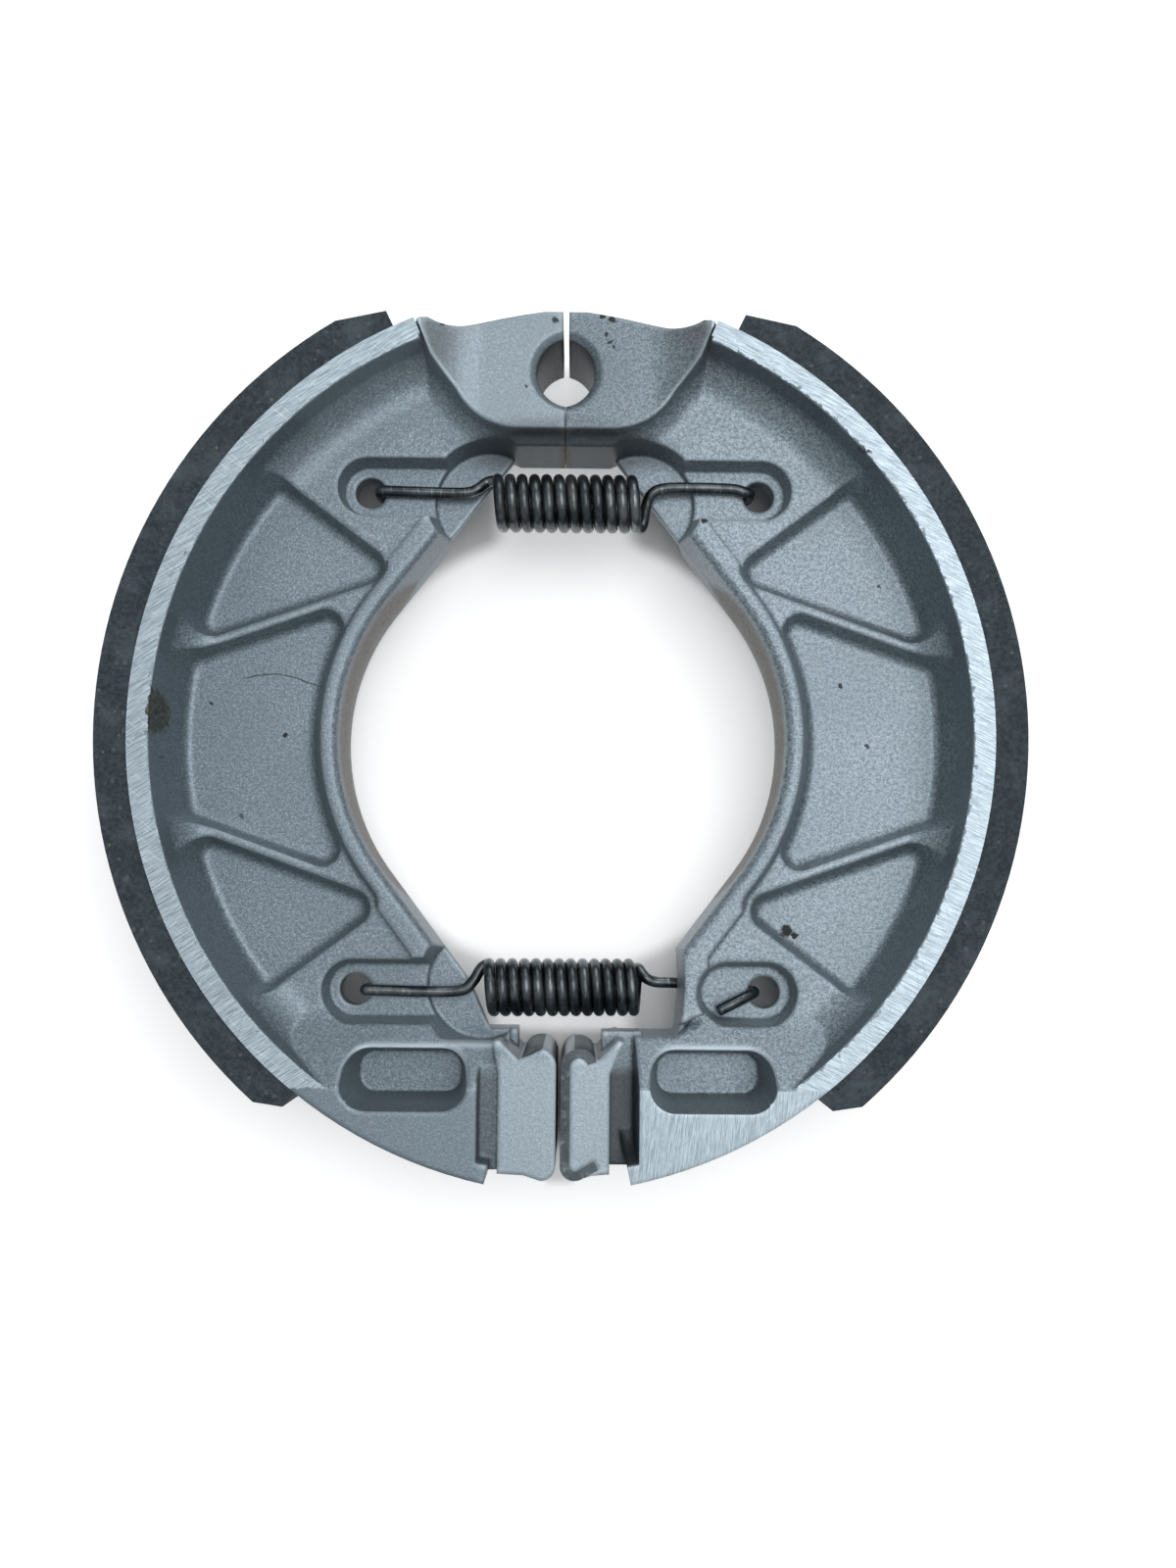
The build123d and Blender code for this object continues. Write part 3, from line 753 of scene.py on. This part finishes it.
def coilPoints(coil):
    radius = (coil["diameter"] - wire["diameter"]) / 2
    steps = round(coil["turns"] * wire["perTurn"])
    points = []
    for i in range(steps + 1):
        turn = coil["turns"] * i / steps
        uneven = sum(reach * math.sin(turn * rate + start) for reach, rate, start in wire["waves"])
        ease = min(1, turn, coil["turns"] - turn)
        angle = 2 * math.pi * turn
        points.append(Vector((coil["x"] + coil["pitch"] * turn + uneven * ease,
                              coil["y"] + radius * math.cos(angle),
                              coil["z"] + radius * math.sin(angle) - coil["drop"] * i / steps)))
    return points


def smoothRun(points):
    # a curve that passes through every point
    p = [Vector(q) for q in points]
    p = [p[0] * 2 - p[1]] + p + [p[-1] * 2 - p[-2]]
    run = []
    for a, b, c, d in zip(p, p[1:], p[2:], p[3:]):
        for i in range(wire["perSpan"]):
            t = i / wire["perSpan"]
            run.append(0.5 * (2 * b + (c - a) * t + (2 * a - 5 * b + 4 * c - d) * t * t
                              + (3 * b - a - 3 * c + d) * t ** 3))
    return run + [p[-2]]


def wireMesh(name, line):
    # a round wire along a line, its cut ends slightly rounded over
    radius, sides = wire["diameter"] / 2, wire["sides"]
    across = Vector((0, 0, 1))
    last = len(line) - 1
    rings = []
    for i, point in enumerate(line):
        ahead = (line[min(i + 1, last)] - line[max(i - 1, 0)]).normalized()
        across = (across - ahead * across.dot(ahead)).normalized()
        rings.append((point, ahead, across, radius))
    first, end = rings[0], rings[-1]
    lip, lipRadius = radius * wire["lip"], radius * wire["lipWidth"]
    rings = [(first[0] - first[1] * lip, *first[1:3], lipRadius)] + rings
    rings.append((end[0] + end[1] * lip, *end[1:3], lipRadius))
    vertices = []
    for point, ahead, across, reach in rings:
        up = ahead.cross(across)
        for k in range(sides):
            angle = 2 * math.pi * k / sides
            vertices.append((point + (across * math.cos(angle) + up * math.sin(angle)) * reach) * mm)
    faces = []
    for i in range(len(rings) - 1):
        for k in range(sides):
            a, b = i * sides + k, i * sides + (k + 1) % sides
            faces.append((a, b, b + sides, a + sides))
    faces.append(tuple(reversed(range(sides))))
    faces.append(tuple(range((len(rings) - 1) * sides, len(rings) * sides)))
    mesh = bpy.data.meshes.new(name)
    mesh.from_pydata(vertices, [], faces)
    mesh.validate()
    for polygon in mesh.polygons:
        polygon.use_smooth = len(polygon.vertices) == 4
    return linked(name, mesh)


def wireFinish():
    f = newFinish("oiledWire")
    here = f.place()
    cloud = f.noise(here, wire["cloudScale"], 4.0, 0.65)
    stain = f.noise(here, wire["brownScale"], 3.0, 0.6)
    grain = f.noise(here, wire["grainScale"], 3.0, 0.6)
    drawn = f.noise(f.vector("MULTIPLY", here, wire["drawnScales"]), 1.0, 2.0, 0.5)
    colour = f.mix(f.step(cloud, 0.35, 0.7), wire["black"], wire["oiled"])
    colour = f.mix(f.step(stain, 0.5, 0.72) * 0.4, colour, wire["brown"])
    colour = f.mix(f.step(drawn, 0.6, 0.78) * 0.5, colour, wire["bright"])
    return f.finished(Base_Color=colour, Metallic=0.92 - f.step(cloud, 0.5, 0.8) * 0.25,
                      Roughness=0.22 + grain * 0.16,
                      Normal=f.bump(grain * 0.5 + drawn * 0.4, *wire["relief"]),
                      Coat_Weight=0.25, Coat_Roughness=0.25)


oiledWire = wireFinish()


def makeSpring(name, node, shape):
    # each arm is drawn one point into the coil, to meet it smoothly, and that span is left out again
    turns = coilPoints(shape["coil"])
    left = smoothRun(shape["left"] + turns[:2])[:-wire["perSpan"]]
    right = smoothRun(turns[-2:] + shape["right"])[wire["perSpan"]:]
    spring = wireMesh(name, left + turns[1:-1] + right)
    spring.data.materials.append(oiledWire)
    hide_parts(node)
    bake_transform(spring)


makeSpring("upperTensionSpring", "upper_spring", upperSpring)
makeSpring("lowerTensionSpring", "lower_spring", lowerSpring)
print("springs wound")

# The stage: pale paper, a soft lamp overhead, a weaker one beyond the anchor end and a plain sky.
# The paper glows bright round the object; as painted shade, not under the shoes nor between the cam pads;
# ranges as in casting
stage = {
    "floorSize": 3.0,
    "floorColour": (0.93, 0.93, 0.93),
    "floorGlow": 0.35,
    "opening": (31 * mm, 34 * mm),
    "outline": (61 * mm, 58 * mm),
    "anchorGap": (8 * mm, 12 * mm),
    "camEnd": (-40 * mm, -42 * mm),
    "camGap": (2.5 * mm, 1.5 * mm),
    "camGapStart": (-42 * mm, -46 * mm),
    "camGapEnd": (-64 * mm, -62 * mm),
    "skyColour": (0.96, 0.985, 1.0),
    "skyHorizon": 0.42,
    "skyTop": 0.6,
}
lamps = {
    "overhead": {"place": (0.15, 0.09, 0.72), "size": 0.55, "power": 2.5},
    "beyond": {"place": (0.12, 0.70, 0.38), "size": 0.45, "power": 1.5},
}


def paperFinish():
    f = newFinish("floorPaper")
    camera, glossy, through = [f.node("ShaderNodeLightPath", {}, {}, "Is " + ray + " Ray")
                               for ray in ("Camera", "Glossy", "Transmission")]
    x, y = f.split(f.place())[:2]
    out = f.distance(f.join(x, y, 0.0), 0.0, 0.0)
    ring = f.step(out, *stage["opening"]) * f.step(out, *stage["outline"])
    shoesLie = ring * f.step(x.size(), *stage["anchorGap"]).larger(f.step(y, *stage["camEnd"]))
    gap = f.step(y, *stage["camGapStart"]) * f.step(y, *stage["camGapEnd"])
    gap = gap * f.step(x.size(), *stage["camGap"])
    # the glow is left out under the shoes and between the cam pads: painted shade on the paper
    glow = camera.larger(glossy).larger(through) * stage["floorGlow"] * (1 - shoesLie.larger(gap))
    return f.finished(Base_Color=stage["floorColour"], Roughness=0.9, Specular_IOR_Level=0.1,
                      Emission_Color=f.join(glow, glow, glow), Emission_Strength=1.0)


def makeStage():
    half = stage["floorSize"] / 2
    corners = [(-half, -half, 0), (half, -half, 0), (half, half, 0), (-half, half, 0)]
    mesh = bpy.data.meshes.new("floor")
    mesh.from_pydata(corners, [], [(0, 1, 2, 3)])
    floor = linked("floor", mesh)
    mesh.materials.append(paperFinish())

    sky = Finish(bpy.data.worlds.new("studio"), "Background")
    height = sky.split(sky.node("ShaderNodeTexCoord", {}, {}, "Generated"))[2]
    strength = sky.node("ShaderNodeMapRange", {},
                        {"Value": height, "To Min": stage["skyHorizon"], "To Max": stage["skyTop"]})
    bpy.context.scene.world = sky.finished(Color=stage["skyColour"], Strength=strength)

    for name, look in lamps.items():
        lamp = bpy.data.lights.new(name, "AREA")
        lamp.shape = "SQUARE"
        lamp.size = look["size"]
        lamp.energy = look["power"]
        holder = linked(name, lamp)
        holder.location = look["place"]
        holder.rotation_euler = Vector(look["place"]).to_track_quat("Z", "Y").to_euler()


makeStage()

# The camera: above the pair, a little towards the cam end, as the photograph was taken. Lens, sensor and
# place are in mm; centre, nadir (the point straight below) and focal are pixels of the 1200 x 1600 frame
view = {
    "lens": 34.99,
    "sensor": 36.0,
    "clipStart": 10 * mm,
    "place": (2.126, -23.08, 225.0),
    "centre": (600, 800),
    "nadir": (588, 925),
    "focal": 1555.0,
    "roll": 0.507,
}


def makeCamera():
    data = bpy.data.cameras.new("camera")
    data.sensor_fit = "VERTICAL"
    data.sensor_height = view["sensor"]
    data.sensor_width = view["sensor"]
    data.lens = view["lens"]
    data.clip_start = view["clipStart"]
    camera = linked("camera", data)
    down = Vector(((view["nadir"][0] - view["centre"][0]) / view["focal"],
                   (view["centre"][1] - view["nadir"][1]) / view["focal"], -1)).normalized()
    across = (Vector((1, 0, 0)) - down * down.x).normalized()
    along = (-down).cross(across)
    c, s = math.cos(math.radians(view["roll"])), math.sin(math.radians(view["roll"]))
    rows = [across * c - along * s, across * s + along * c, -down]
    turned = Matrix([list(row) for row in rows]).to_4x4()
    camera.matrix_world = Matrix.Translation(Vector(view["place"]) * mm) @ turned
    bpy.context.scene.camera = camera


makeCamera()
bpy.context.scene.view_settings.view_transform = "Standard"
print("stage and camera set")
